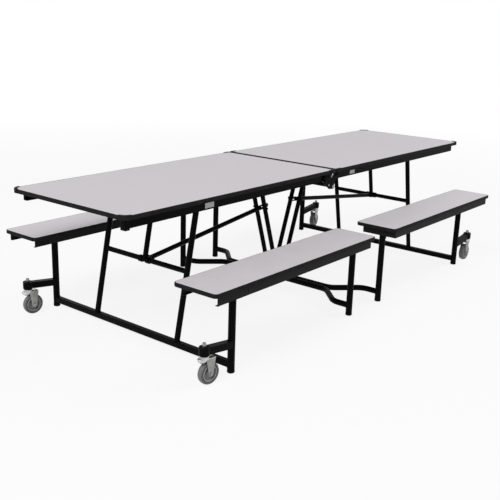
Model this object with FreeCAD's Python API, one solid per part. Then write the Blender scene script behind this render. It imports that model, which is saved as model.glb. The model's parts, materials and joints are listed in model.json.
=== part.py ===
import FreeCAD, Part
import math
import os
from FreeCAD import Vector

# Cafeteria folding table with attached benches, in millimetres.
# X runs along the table, Y across it, Z up. The origin is on the floor below the centre hinge.
# Every function builds the left half (negative X); the right half is its mirror image.

# Overall sizes
topHeight = 737.0            # floor to the writing surface
topHalfLength = 1530.0       # centre hinge line to the outer end of one top
topHalfWidth = 381.0
topGap = 16.0                # between the two tops at the hinge line
slabThickness = 19.0
edgeBandThickness = 4.0
outerCornerRadius = 45.0
innerCornerRadius = 6.0

seatHeight = 445.0           # floor to the bench surface
seatInnerEnd = 97.0          # from the hinge line
seatOuterEnd = 1352.0
seatInnerSide = 470.0        # from the table's centre line
seatOuterSide = 715.0
seatCornerRadius = 22.0
seatBandThickness = 3.0

# Table rails, rod and hinge
railDepth = 41.0
railFlange = 25.0
railWall = 2.5
railInset = 25.0             # slab side to the rail's outer face
railOuterInset = 50.0        # slab outer end to the rail's end
railInnerInset = 8.0         # slab hinge end to the rail's end
foldX = 996.0                # table pivot rod, from the hinge line
foldDrop = 44.0              # writing surface down to the table pivot rod
foldRodRadius = 7.0
hingeDrop = 97.0             # writing surface down to the centre hinge pins
hingePinRadius = 6.0
hingePinHeadRadius = 10.0
hingePinHeadThickness = 3.0
hingeArmThickness = 5.0
hingePlateLength = 88.0      # along the rail, left arms
hingePlateDrop = 50.0
hingeStrapLength = 60.0      # along the rail, right arms
hingeStrapNeck = 34.0
hingePlateFoot = 8.75        # hinge pins down to the left arms' inner lower corner
hingeEyeRadius = 12.5
hingeArmInner = 15.0         # hinge line to the arm's inner top corner
armGap = 0.5                 # between the two arms of one hinge
releaseBarRadius = 11.0
releaseBarX = 43.0
releaseBarDrop = 83.0
guardProud = 2.5             # corner guards stand this far outside the band
guardRise = 2.5              # and this far above the surface
guardLength = 45.0
guardRounding = 1.75

catchLength = 24.0           # catch at the outer end of the near left rail
catchWidth = 34.0
catchDepth = 49.0
catchWall = 3.0
catchBend = 6.0

# Leg hanger under each top
hangerX = 190.0
hangerDrop = 46.0            # writing surface down to the hanger pin
hangerPinRadius = 6.0
hangerEarThickness = 4.0
hangerEarWidth = 34.0
hangerEarGap = 3.0           # vee leg side to hanger ear
hangerPlateThickness = 3.0
hangerPlateLength = 90.0

# Bench rails
seatRailDepth = 39.0
seatRailWall = 2.0
seatRailFlange = 25.0
seatRailLip = 14.0
seatRailSideInset = 12.0     # bench side away from the table to its rail
seatRailTableInset = 30.0    # bench side next to the table to its rail
seatRailOuterInset = 25.0
seatRailInnerInset = 34.0
seatPivotDrop = 41.0         # bench surface down to the outer bench pivot
seatPivotRadius = 6.0

# End frame
benchLegX = 1125.0
benchLegY = 612.0
benchLegRadius = 17.0
benchLegWall = 2.0
benchHubRadius = 14.5
glideRadius = 17.6
glideHeight = 12.0
glideSpigotHeight = 14.0
glideChamfer = 2.2
floorBarHeight = 39.0        # floor to the bar's centre
floorBarSize = 30.0
floorBarWall = 2.0
floorBarRounding = 4.0
tableLegY = 280.0
tableLegRadius = 14.0
braceTubeRadius = 12.7
braceTubeWall = 1.6
legHubRadius = 16.0
legHubLength = 40.0
crossBarHeight = 378.0

# Folding link
linkPivotX = 1024.0
linkPivotHeight = 378.0
linkBoltHeight = 487.0       # where the link meets the vee legs
linkTubeRadius = 12.0
linkTubeWall = 1.5
linkHubRadius = 12.0
linkHubLength = 25.0
linkPinRadius = 5.0
linkBoltRadius = 4.0
linkSlotTravel = 53.0        # the bolt's way along the slot over one fold
linkSlotHalfWidth = 7.2
linkEndThickness = 12.0
linkEndMargin = 5.0
bracketEarThickness = 4.0
bracketEarRadius = 17.0

# Centre frame
centreLegX = 152.0
centreBarX = 19.0            # middle run of the floor bar, from the hinge line
centreBarHeight = 54.0
centreBarRadius = 16.0
centreBarWall = 2.0
centreBarBendRadius = 85.0
centreBarInnerBendY = 375.0
centreBarOuterBendY = 510.0
veeLegY = 30.5
veeLegRadius = 12.7
veeLegWall = 1.6
veeBendHeight = 560.0
veeBendRadius = 80.0
veeHubRadius = 14.0
centreLegTop = 396.0
lugThickness = 22.0
lugEyeRadius = 8.5
lugRootDepth = 60.0
lugRootRadius = 11.2
seatSliderX = 205.0          # cross rod that rides in the bench rails
seatSliderHeight = 417.0
seatSliderRadius = 6.0

# Casters
casterX = 1303.0
casterTrail = 24.0
wheelRadius = 52.0
wheelWidth = 28.0
wheelLift = 1.0              # the wheels clear the floor while the table is open
tyreThickness = 11.0
tyreRounding = 4.4
hubRecess = 4.0
axleRadius = 6.0
axleHeadRadius = 10.0
axleHeadThickness = 5.0
forkGap = 3.0                # wheel side to fork leg
forkWall = 3.0
forkTopWidth = 50.0
forkEyeRadius = 13.0
crownHeight = 122.0
crownThickness = 5.0
crownBack = 34.0             # kingpin to the rear edge of the crown
raceRadius = 22.0
raceHeight = 12.0
stemRadius = 8.0
stemTop = 196.0
kingNutRadius = 10.0
kingNutHeight = 12.0
bossRadius = 24.0
bossHeight = 36.0
armHeight = 34.0
armWidth = 32.0
armStartHeight = 136.0       # arm centre where it leaves the leg
armEndHeight = 160.0         # arm centre at the caster
swivelAngle = {"near_left": 352.0, "far_left": 352.0, "near_right": 180.0, "far_right": 190.0}

# Fits
runningFit = 0.05            # radial, pins and rods in their bores
faceGap = 0.4                # between faces of different bodies

# Positions that follow from the sizes above
slabBottom = topHeight - slabThickness
railBottom = slabBottom - railDepth
railOuterFace = topHalfWidth - railInset
foldHeight = topHeight - foldDrop
hingeHeight = topHeight - hingeDrop
hangerHeight = topHeight - hangerDrop
seatBottom = seatHeight - slabThickness
seatRailBottom = seatBottom - seatRailDepth
seatPivotHeight = seatHeight - seatPivotDrop
seatCentreY = (seatInnerSide + seatOuterSide) / 2
floorBarTop = floorBarHeight + floorBarSize / 2
wheelHeight = wheelRadius + wheelLift
alongY = Vector(0, 1, 0)
alongZ = Vector(0, 0, 1)
lots = 4 * topHalfLength     # longer than anything that is trimmed


def onLine(x1, z1, x2, z2, z):
    """X of the straight line through two points in a side view, at height z."""
    return x1 + (x2 - x1) * (z - z1) / (z2 - z1)


def tableLegX(z):
    return onLine(-benchLegX, floorBarTop, -foldX, foldHeight, z)


def veeLegX(z):
    return onLine(-centreBarX, centreBarHeight, -hangerX, veeBendHeight, z)


def mirrorX(shape):
    return shape.mirror(Vector(0, 0, 0), Vector(1, 0, 0))


def mirrorY(shape):
    return shape.mirror(Vector(0, 0, 0), Vector(0, 1, 0))


def bothSides(shape):
    return [shape, mirrorY(shape)]


def box(x1, y1, z1, x2, y2, z2):
    return Part.makeBox(x2 - x1, y2 - y1, z2 - z1, Vector(x1, y1, z1))


def rod(start, end, radius):
    axis = end - start
    return Part.makeCylinder(radius, axis.Length, start, axis)


def tube(start, end, radius, wall):
    return rod(start, end, radius).cut(rod(start, end, radius - wall))


def rodAcross(x, z, y1, y2, radius):
    return Part.makeCylinder(radius, y2 - y1, Vector(x, y1, z), alongY)


def plateAcross(outline, y1, y2):
    """Flat plate whose outline is a closed wire in the XZ plane at y = 0."""
    face = Part.Face(outline)
    face.translate(Vector(0, y1, 0))
    return face.extrude(Vector(0, y2 - y1, 0))


def eyeOutline(x1, z1, r1, x2, z2, r2):
    """Closed side-view outline around two circles, as on a forged link."""
    span = math.hypot(x2 - x1, z2 - z1)
    heading = math.atan2(z2 - z1, x2 - x1)
    lean = math.acos((r1 - r2) / span)

    def at(x, z, r, angle):
        return Vector(x + r * math.cos(angle), 0, z + r * math.sin(angle))

    up, down = heading + lean, heading - lean
    a, b = at(x1, z1, r1, up), at(x2, z2, r2, up)
    c, d = at(x2, z2, r2, down), at(x1, z1, r1, down)
    outer = at(x2, z2, r2, heading)
    inner = at(x1, z1, r1, heading + math.pi)
    edges = [Part.makeLine(a, b), Part.Arc(b, outer, c).toShape()]
    edges += [Part.makeLine(c, d), Part.Arc(d, inner, a).toShape()]
    return Part.Wire(edges)


def filletedPath(points, radius):
    """Straight runs through the points, joined by tangent arcs of one radius."""
    edges = []
    start = points[0]
    for before, corner, after in zip(points, points[1:], points[2:]):
        u = (before - corner).normalize()
        v = (after - corner).normalize()
        half = u.getAngle(v) / 2
        reach = radius / math.tan(half)
        first = corner + u * reach
        last = corner + v * reach
        bisector = (u + v).normalize()
        centre = corner + bisector * (radius / math.sin(half))
        middle = centre - bisector * radius
        edges.append(Part.makeLine(start, first))
        edges.append(Part.Arc(first, middle, last).toShape())
        start = last
    edges.append(Part.makeLine(start, points[-1]))
    return Part.Wire(edges)


def bentTube(points, bendRadius, radius, wall):
    path = filletedPath(points, bendRadius)
    direction = points[1] - points[0]

    def swept(r):
        ring = Part.Wire(Part.makeCircle(r, points[0], direction))
        return path.makePipeShell([ring], True, False)

    return swept(radius).cut(swept(radius - wall))


def roundedSlab(x1, y1, x2, y2, z1, z2, radii):
    """Plate with rounded corners; radii runs (x1,y1), (x2,y1), (x2,y2), (x1,y2)."""
    corners = [(x1, y1, 1, 1), (x2, y1, -1, 1), (x2, y2, -1, -1), (x1, y2, 1, -1)]
    edges = []
    previousEnd = None
    firstStart = None
    for index, ((x, y, sx, sy), r) in enumerate(zip(corners, radii)):
        alongX = Vector(x + sx * r, y, z1)
        alongSide = Vector(x, y + sy * r, z1)
        diagonal = r * (1 - math.sqrt(0.5))
        middle = Vector(x + sx * diagonal, y + sy * diagonal, z1)
        start, end = (alongSide, alongX) if index % 2 == 0 else (alongX, alongSide)
        if previousEnd is not None:
            edges.append(Part.makeLine(previousEnd, start))
        else:
            firstStart = start
        edges.append(Part.Arc(start, middle, end).toShape())
        previousEnd = end
    edges.append(Part.makeLine(previousEnd, firstStart))
    return Part.Face(Part.Wire(edges)).extrude(Vector(0, 0, z2 - z1))


def slabAndBand(x1, y1, x2, y2, z1, z2, radii, band):
    whole = roundedSlab(x1, y1, x2, y2, z1, z2, radii)
    inner = [max(r - band, 1.0) for r in radii]
    slab = roundedSlab(x1 + band, y1 + band, x2 - band, y2 - band, z1, z2, inner)
    return slab, whole.cut(slab)


def channel(x1, x2, face, inward, bottom, top, wall, flange, lip):
    """C section along X: web at y = face, flanges pointing along inward (+1 or -1)."""
    def strip(depth, z1, z2):
        ends = sorted([face, face + inward * depth])
        return box(x1, ends[0], z1, x2, ends[1], z2)

    web = strip(wall, bottom, top)
    upper = strip(flange, top - wall, top)
    lower = strip(lip, bottom, bottom + wall)
    return web.fuse([upper, lower]).removeSplitter()


# Table tops

def cornerGuards():
    """Black guards: straight ones at the hinge corners, curved ones at the outer corners."""
    z1, z2 = slabBottom, topHeight + guardRise
    hinge = box(-topGap / 2 - guardLength, topHalfWidth, z1, -topGap / 2, topHalfWidth + guardProud, z2)
    rising = [e for e in hinge.Edges if abs(e.BoundBox.ZMin - z2) < 0.01 and e.BoundBox.XLength < 0.01]
    hinge = hinge.makeFillet(guardRounding, rising)
    centre = Vector(-topHalfLength + outerCornerRadius, topHalfWidth - outerCornerRadius, z1)
    ring = Part.makeCylinder(outerCornerRadius + guardProud, z2 - z1, centre, alongZ, 90)
    ring = ring.cut(Part.makeCylinder(outerCornerRadius, z2 - z1, centre, alongZ))
    ring.rotate(centre, alongZ, 90)
    return bothSides(hinge) + bothSides(ring)


def tableTop():
    outer, inner = outerCornerRadius, innerCornerRadius
    return slabAndBand(-topHalfLength, -topHalfWidth, -topGap / 2, topHalfWidth, slabBottom, topHeight,
                       [outer, inner, inner, outer], edgeBandThickness)


def tableRails():
    x1 = -topHalfLength + railOuterInset
    x2 = -topGap / 2 - railInnerInset
    rail = channel(x1, x2, railOuterFace, -1, railBottom, slabBottom, railWall, railFlange, railFlange)
    return bothSides(rail)


def railCatch():
    """Bent plate cup at the rail's outer end, open below and towards the rail."""
    x = -topHalfLength + railOuterInset
    y = -railOuterFace
    cup = box(x - catchLength, y, slabBottom - catchDepth, x, y + catchWidth, slabBottom)
    corner = [e for e in cup.Edges
              if e.BoundBox.XMax < x - catchLength / 2 and e.BoundBox.ZLength > catchDepth / 2]
    cup = cup.makeFillet(catchBend, corner)
    hollow = box(x - catchLength + catchWall, y + catchWall, slabBottom - catchDepth,
                 x, y + catchWidth - catchWall, slabBottom - catchWall)
    return cup.cut(hollow)


def tablePivotRod():
    end = railOuterFace - railWall
    return rodAcross(-foldX, foldHeight, -end, end, foldRodRadius)


def legHanger():
    """Base plate with two ears under the top, and the pin that carries the vee legs."""
    earInner = veeLegY + veeLegRadius + hangerEarGap
    x, z = -hangerX, hangerHeight
    plateBottom = slabBottom - hangerPlateThickness
    reach = earInner + hangerEarThickness
    plate = box(x - hangerPlateLength / 2, -reach, plateBottom, x + hangerPlateLength / 2, reach, slabBottom)
    half = hangerEarWidth / 2
    ear = box(x - half, earInner, z, x + half, reach, plateBottom)
    ear = ear.fuse(rodAcross(x, z, earInner, reach, half))
    body = plate.fuse(bothSides(ear))
    hole = rodAcross(x, z, -lots, lots, hangerPinRadius + runningFit)
    pin = rodAcross(x, z, -reach - hangerEarThickness, reach + hangerEarThickness, hangerPinRadius)
    return [body.cut(hole).removeSplitter(), pin]


def hingeArm(y1, y2, outerEdge):
    """Plate that hangs from a rail and carries the hinge eye, on the left half's +Y side."""
    low = hingeHeight - hingeEyeRadius
    corners = [(-hingeArmInner, slabBottom)] + outerEdge + [(0, low), (hingeEyeRadius, hingeHeight)]
    points = [Vector(x, 0, z) for x, z in corners]
    plate = plateAcross(Part.makePolygon(points + points[:1]), y1, y2)
    eye = rodAcross(0, hingeHeight, y1, y2, hingeEyeRadius)
    hole = rodAcross(0, hingeHeight, y1, y2, hingePinRadius + runningFit)
    return plate.fuse(eye).cut(hole).removeSplitter()


def hingeLayers():
    """Y of the inner layer (right arms) and of the outer layer (left arms)."""
    innerEnd = railOuterFace + hingeArmThickness
    outerStart = innerEnd + armGap
    return (railOuterFace, innerEnd), (outerStart, outerStart + hingeArmThickness)


def leftHingeArms():
    y1, y2 = hingeLayers()[1]
    outerEdge = [(-hingePlateLength, slabBottom), (-hingePlateLength, slabBottom - hingePlateDrop)]
    outerEdge.append((-hingeStrapNeck, hingeHeight - hingePlateFoot))
    arm = hingeArm(y1, y2, outerEdge)
    spacer = box(-hingePlateLength, railOuterFace, railBottom, -hingeArmInner * 2, y1, slabBottom)
    return bothSides(arm.fuse(spacer).removeSplitter())


def rightHingeArms():
    y1, y2 = hingeLayers()[0]
    outerEdge = [(-hingeStrapLength, slabBottom), (-hingeStrapLength, railBottom)]
    outerEdge.append((-hingeStrapNeck, railBottom))
    outerEdge.append((-hingeEyeRadius, hingeHeight - hingeEyeRadius / 2))
    return [mirrorX(s) for s in bothSides(hingeArm(y1, y2, outerEdge))]


def hingePins():
    """Headed pins through both arms of each centre hinge."""
    (innerStart, _), (_, outerEnd) = hingeLayers()
    head = hingePinHeadThickness
    pin = rodAcross(0, hingeHeight, innerStart - head, outerEnd + head, hingePinRadius)
    outerHead = rodAcross(0, hingeHeight, outerEnd, outerEnd + head, hingePinHeadRadius)
    innerHead = rodAcross(0, hingeHeight, innerStart - head, innerStart - faceGap, hingePinHeadRadius)
    return bothSides(pin.fuse([outerHead, innerHead]).removeSplitter())


def releaseBar():
    """Tube across the left half behind its hinge arms."""
    end = hingeLayers()[1][0]
    z = topHeight - releaseBarDrop
    return tube(Vector(-releaseBarX, -end, z), Vector(-releaseBarX, end, z), releaseBarRadius, braceTubeWall)


# Benches

def seatParts():
    """Seat slab, its band, and the rails with their end panel and pivot rod (far side)."""
    radius = seatCornerRadius
    slab, band = slabAndBand(-seatOuterEnd, seatInnerSide, -seatInnerEnd, seatOuterSide,
                             seatBottom, seatHeight, [radius] * 4, seatBandThickness)
    x1 = -seatOuterEnd + seatRailOuterInset
    x2 = -seatInnerEnd - seatRailInnerInset
    nearFace = seatInnerSide + seatRailTableInset
    farFace = seatOuterSide - seatRailSideInset
    rails = [channel(x1, x2, face, inward, seatRailBottom, seatBottom,
                     seatRailWall, seatRailFlange, seatRailLip)
             for face, inward in ((nearFace, 1), (farFace, -1))]
    panel = box(x2, nearFace, seatRailBottom, x2 + seatRailWall, farFace, seatBottom)
    pivot = rodAcross(-benchLegX, seatPivotHeight, nearFace + seatRailWall, farFace - seatRailWall,
                      seatPivotRadius)
    return slab, band, rails + [panel, pivot]


# End frame

def uprightLeg(x, top):
    return tube(Vector(x, benchLegY, glideHeight), Vector(x, benchLegY, top), benchLegRadius, benchLegWall)


def glide(x):
    """Foot cap with a spigot inside the leg tube."""
    foot = Part.makeCylinder(glideRadius, glideHeight, Vector(x, benchLegY, 0))
    foot = foot.makeChamfer(glideChamfer, [e for e in foot.Edges if e.BoundBox.ZMax < 0.01])
    spigotBase = Vector(x, benchLegY, glideHeight)
    spigot = Part.makeCylinder(benchLegRadius - benchLegWall, glideSpigotHeight, spigotBase)
    return foot.fuse(spigot).removeSplitter()


def outerBenchLegs():
    x, z = -benchLegX, seatPivotHeight
    reach = benchLegRadius - faceGap
    hub = rodAcross(x, z, benchLegY - reach, benchLegY + reach, benchHubRadius)
    leg = uprightLeg(x, z).fuse(hub)
    leg = leg.cut(rodAcross(x, z, 0, lots, seatPivotRadius + runningFit))
    return bothSides(leg.removeSplitter())


def floorBar():
    end = benchLegY + benchLegRadius
    half = floorBarSize / 2

    def bar(size):
        return box(-benchLegX - size, -end, floorBarHeight - size,
                   -benchLegX + size, end, floorBarHeight + size)

    outer = bar(half)
    long = [e for e in outer.Edges if e.BoundBox.YLength > end]
    outer = outer.makeFillet(floorBarRounding, long)
    solid = outer.cut(bar(half - floorBarWall))
    legs = [rod(Vector(-benchLegX, y, 0), Vector(-benchLegX, y, seatPivotHeight), benchLegRadius)
            for y in (-benchLegY, benchLegY)]
    pieces = solid.cut(Part.makeCompound(legs)).Solids
    return max(pieces, key=lambda s: s.Volume)


def leaningTube(y, z1, z2, radius, wall):
    """Tube in the plane of the table legs, from height z1 to z2."""
    return tube(Vector(tableLegX(z1), y, z1), Vector(tableLegX(z2), y, z2), radius, wall)


def pivotHub(y, length):
    return rodAcross(-foldX, foldHeight, y - length / 2, y + length / 2, legHubRadius)


def tableLegs():
    low = floorBarHeight
    leg = leaningTube(tableLegY, low, foldHeight, tableLegRadius, braceTubeWall)
    leg = leg.cut(box(-lots, 0, 0, lots, lots, floorBarTop))
    leg = leg.fuse(pivotHub(tableLegY, legHubLength))
    leg = leg.cut(rodAcross(-foldX, foldHeight, 0, lots, foldRodRadius + runningFit))
    return bothSides(leg.removeSplitter())


def crossBrace():
    """Cross bar between the table legs, and the post up to the table pivot rod."""
    x, z = tableLegX(crossBarHeight), crossBarHeight
    span = Vector(0, tableLegY, 0)
    middle = Vector(x, 0, z)
    bar = tube(middle - span, middle + span, braceTubeRadius, braceTubeWall)
    legs = [rod(Vector(tableLegX(0), y, 0), Vector(tableLegX(foldHeight), y, foldHeight), tableLegRadius)
            for y in (-tableLegY, tableLegY)]
    bar = max(bar.cut(Part.makeCompound(legs)).Solids, key=lambda s: s.Volume)
    post = leaningTube(0, z, foldHeight, braceTubeRadius, braceTubeWall)
    post = post.cut(rodAcross(x, z, -lots, lots, braceTubeRadius))
    post = max(post.Solids, key=lambda s: s.Volume)
    post = post.fuse(pivotHub(0, legHubLength))
    post = post.cut(rodAcross(-foldX, foldHeight, -lots, lots, foldRodRadius + runningFit))
    return [bar, post.removeSplitter()]


def linkBracket():
    """Two ears clamped on the cross bar beside the post, and the link's pin."""
    x, z = tableLegX(crossBarHeight), crossBarHeight
    y1 = linkHubLength / 2 + faceGap * 2
    y2 = y1 + bracketEarThickness
    outline = eyeOutline(x, z, bracketEarRadius, -linkPivotX, linkPivotHeight, linkHubRadius)
    ear = plateAcross(outline, y1, y2)
    ear = ear.cut(rodAcross(x, z, y1, y2, braceTubeRadius))
    collar = tube(Vector(x, y1, z), Vector(x, y2 + bracketEarRadius, z), bracketEarRadius,
                  bracketEarRadius - braceTubeRadius)
    ear = ear.fuse(collar)
    ear = ear.cut(rodAcross(-linkPivotX, linkPivotHeight, 0, lots, linkPinRadius + runningFit))
    pinEnd = y2 + bracketEarThickness
    pin = rodAcross(-linkPivotX, linkPivotHeight, -pinEnd, pinEnd, linkPinRadius)
    return bothSides(ear.removeSplitter()) + [pin]


def casterArms():
    """Stub arm that rises from each outer bench leg to the caster's boss."""
    start = Vector(-benchLegX, benchLegY, armStartHeight)
    end = Vector(-casterX, benchLegY, armEndHeight)
    half = armHeight / 2
    outline = [Vector(start.x, 0, start.z - half), Vector(start.x, 0, start.z + half)]
    outline += [Vector(end.x, 0, end.z + half), Vector(end.x, 0, end.z - half)]
    outline = Part.makePolygon(outline + outline[:1])
    arm = plateAcross(outline, benchLegY - armWidth / 2, benchLegY + armWidth / 2)
    boss = Part.makeCylinder(bossRadius, bossHeight, Vector(end.x, end.y, end.z - bossHeight / 2))
    arm = arm.fuse(boss)
    arm = arm.cut(Part.makeCylinder(stemRadius + runningFit, lots, Vector(end.x, end.y, -lots / 2)))
    leg = rod(Vector(start.x, start.y, 0), Vector(start.x, start.y, lots), benchLegRadius)
    arm = max(arm.cut(leg).Solids, key=lambda s: s.BoundBox.XLength)
    return bothSides(arm.removeSplitter())


# Link

def linkPoint():
    return veeLegX(linkBoltHeight), linkBoltHeight


def linkTube():
    """Tube with an eye at the end frame and a slotted flat end at the vee legs."""
    boltX, boltZ = linkPoint()
    pivot = Vector(-linkPivotX, 0, linkPivotHeight)
    bolt = Vector(boltX, 0, boltZ)
    direction = (bolt - pivot).normalize()
    reach = (bolt - pivot).Length
    angle = math.degrees(math.atan2(direction.z, direction.x))
    slotStart = reach - linkBoltRadius - faceGap + linkSlotHalfWidth
    slotEnd = reach + linkSlotTravel + linkBoltRadius + faceGap - linkSlotHalfWidth
    tipRadius = linkSlotHalfWidth + linkEndMargin
    flatStart = slotStart - tipRadius
    half = linkEndThickness / 2

    def slotPlate(x1, x2, radius, y1, y2):
        body = box(x1, y1, -radius, x2, y2, radius)
        ends = [rodAcross(x, 0, y1, y2, radius) for x in (x1, x2)]
        return body.fuse(ends)

    flat = slotPlate(flatStart, slotEnd, tipRadius, -half, half)
    slot = slotPlate(slotStart, slotEnd, linkSlotHalfWidth, -half, half)
    shaft = tube(Vector(0, 0, 0), Vector(flatStart, 0, 0), linkTubeRadius, linkTubeWall)
    hub = rodAcross(0, 0, -linkHubLength / 2, linkHubLength / 2, linkHubRadius)
    bore = rodAcross(0, 0, -lots, lots, linkPinRadius + runningFit)
    link = shaft.fuse([flat, hub]).cut(Part.makeCompound([bore, slot]))
    link.rotate(Vector(0, 0, 0), alongY, -angle)
    link.translate(pivot)
    return link.removeSplitter()


# Centre frame

def centreBar():
    """Floor bar: parallel ends at the legs, bent towards the hinge line in the middle."""
    plan = [(-centreLegX, benchLegY), (-centreLegX, centreBarOuterBendY), (-centreBarX, centreBarInnerBendY)]
    plan += [(x, -y) for x, y in reversed(plan)]
    points = [Vector(x, y, centreBarHeight) for x, y in plan]
    bar = bentTube(points, centreBarBendRadius, centreBarRadius, centreBarWall)
    legs = [rod(Vector(-centreLegX, y, 0), Vector(-centreLegX, y, centreLegTop), benchLegRadius)
            for y in (-benchLegY, benchLegY)]
    return max(bar.cut(Part.makeCompound(legs)).Solids, key=lambda s: s.Volume)


def sliderRod():
    near = seatInnerSide + seatRailTableInset + seatRailWall + faceGap
    far = seatOuterSide - seatRailSideInset - seatRailWall - faceGap
    return rodAcross(-seatSliderX, seatSliderHeight, near, far, seatSliderRadius)


def innerLegs():
    """Leg with its top lug, and the cross rod that rides in the bench rails."""
    leg = uprightLeg(-centreLegX, centreLegTop - benchLegRadius)
    capBase = Vector(-centreLegX, benchLegY, centreLegTop - benchLegRadius)
    cap = Part.makeCylinder(benchLegRadius, benchLegWall, capBase)
    leg = leg.fuse(cap)
    outline = eyeOutline(-centreLegX, seatSliderHeight - lugRootDepth, lugRootRadius,
                         -seatSliderX, seatSliderHeight, lugEyeRadius)
    lug = plateAcross(outline, benchLegY - lugThickness / 2, benchLegY + lugThickness / 2)
    leg = leg.fuse(lug)
    leg = leg.cut(rodAcross(-seatSliderX, seatSliderHeight, 0, lots, seatSliderRadius + runningFit))
    return bothSides(leg.removeSplitter()) + bothSides(sliderRod())


def veeLegs():
    """Two tubes side by side from the floor bar up to the hanger pin, and the link's bolt."""
    foot = Vector(-centreBarX, veeLegY, centreBarHeight)
    points = [foot, Vector(-hangerX, veeLegY, veeBendHeight), Vector(-hangerX, veeLegY, hangerHeight)]
    leg = bentTube(points, veeBendRadius, veeLegRadius, veeLegWall)
    hub = rodAcross(-hangerX, hangerHeight, veeLegY - veeLegRadius, veeLegY + veeLegRadius, veeHubRadius)
    leg = leg.fuse(hub)
    leg = leg.cut(rodAcross(-hangerX, hangerHeight, 0, lots, hangerPinRadius + runningFit))
    leg = leg.cut(rodAcross(-centreBarX, centreBarHeight, -lots, lots, centreBarRadius))
    leg = max(leg.Solids, key=lambda s: s.Volume)
    boltX, boltZ = linkPoint()
    leg = leg.cut(rodAcross(boltX, boltZ, 0, lots, linkBoltRadius + runningFit))
    reach = veeLegY + veeLegRadius + linkEndMargin
    bolt = rodAcross(boltX, boltZ, -reach, reach, linkBoltRadius)
    return bothSides(leg) + [bolt]


# Casters

def casterFork():
    """Swivel fork with its stem along Z at the origin, the wheel trailing along +X."""
    side = wheelWidth / 2 + forkGap
    top = crownHeight
    front = casterTrail + forkTopWidth / 2
    back = casterTrail - forkTopWidth / 2
    legs = []
    for sign in (-1, 1):
        y1, y2 = sorted([sign * side, sign * (side + forkWall)])
        blade = [Vector(back, 0, top), Vector(front, 0, top)]
        blade += [Vector(casterTrail + x, 0, wheelHeight) for x in (forkEyeRadius, -forkEyeRadius)]
        leg = plateAcross(Part.makePolygon(blade + blade[:1]), y1, y2)
        legs.append(leg.fuse(rodAcross(casterTrail, wheelHeight, y1, y2, forkEyeRadius)))
    crown = box(-crownBack, -side - forkWall, top, front, side + forkWall, top + crownThickness)
    race = Part.makeCylinder(raceRadius, raceHeight, Vector(0, 0, top + crownThickness))
    stem = Part.makeCylinder(stemRadius, stemTop - top, Vector(0, 0, top))
    fork = crown.fuse(legs + [race, stem])
    fork = fork.cut(rodAcross(casterTrail, wheelHeight, -lots, lots, axleRadius + runningFit))
    end = side + forkWall
    head = axleHeadThickness
    axle = rodAcross(casterTrail, wheelHeight, -end - head, end + head, axleRadius)
    heads = [rodAcross(casterTrail, wheelHeight, y, y + head, axleHeadRadius) for y in (end, -end - head)]
    nutBottom = armEndHeight + bossHeight / 2 + faceGap
    nut = hexagon(kingNutRadius, nutBottom, kingNutHeight)
    nut = nut.cut(Part.makeCylinder(stemRadius, lots, Vector(0, 0, -lots / 2)))
    return [fork.removeSplitter(), axle.fuse(heads).removeSplitter(), nut]


def hexagon(radius, bottom, height):
    points = [Vector(radius * math.cos(math.radians(a)), radius * math.sin(math.radians(a)), bottom)
              for a in range(0, 360, 60)]
    return Part.Face(Part.makePolygon(points + points[:1])).extrude(Vector(0, 0, height))


def casterWheel():
    """Tyre and hub on the axle, both hub faces recessed."""
    half = wheelWidth / 2
    rim = wheelRadius - tyreThickness
    tyre = rodAcross(casterTrail, wheelHeight, -half, half, wheelRadius)
    rounded = [e for e in tyre.Edges if e.Length > wheelRadius * 6]
    tyre = tyre.makeFillet(tyreRounding, rounded)
    tyre = tyre.cut(rodAcross(casterTrail, wheelHeight, -half, half, rim))
    hub = rodAcross(casterTrail, wheelHeight, -half, half, rim)
    for y in (-half, half - hubRecess):
        ring = rodAcross(casterTrail, wheelHeight, y, y + hubRecess, rim - hubRecess)
        boss = rodAcross(casterTrail, wheelHeight, y, y + hubRecess, axleHeadRadius + hubRecess)
        hub = hub.cut(ring.cut(boss))
    hub = hub.cut(rodAcross(casterTrail, wheelHeight, -half, half, axleRadius + runningFit))
    return [tyre, hub]


def placed(shapes, corner):
    """Turn a caster by its swivel angle and set it under its boss."""
    sideX = -1 if corner.endswith("left") else 1
    sideY = -1 if corner.startswith("near") else 1
    moved = []
    for shape in shapes:
        copy = shape.copy()
        copy.rotate(Vector(0, 0, 0), alongZ, swivelAngle[corner])
        copy.translate(Vector(sideX * casterX, sideY * benchLegY, 0))
        moved.append(copy)
    return moved


# Files

os.makedirs("parts", exist_ok=True)


def save(name, shapes):
    solids = [solid for shape in shapes for solid in shape.Solids]
    whole = solids[0] if len(solids) == 1 else Part.makeCompound(solids)
    whole.exportStep("parts/" + name + ".step")
    print(name, len(solids), all(s.isValid() for s in solids), round(sum(s.Volume for s in solids)))


def saveBothHalves(name, shapes):
    save("left_" + name, shapes)
    save("right_" + name, [mirrorX(s) for s in shapes])


top, topEdge = tableTop()
saveBothHalves("table_top", [top])
saveBothHalves("table_edge", [topEdge] + cornerGuards())
saveBothHalves("table_rails", tableRails())
saveBothHalves("table_pivot_rod", [tablePivotRod()])
saveBothHalves("leg_hanger", legHanger())
save("left_hinge_arms", leftHingeArms())
save("right_hinge_arms", rightHingeArms())
save("hinge_pins", hingePins())
save("release_bar", [releaseBar()])
save("rail_catch", [railCatch()])

seat, seatBand, seatRails = seatParts()
saveBothHalves("far_seat", [seat])
saveBothHalves("far_seat_edge", [seatBand])
saveBothHalves("far_seat_rails", seatRails)
saveBothHalves("near_seat", [mirrorY(seat)])
saveBothHalves("near_seat_edge", [mirrorY(seatBand)])
saveBothHalves("near_seat_rails", [mirrorY(s) for s in seatRails])

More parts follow.
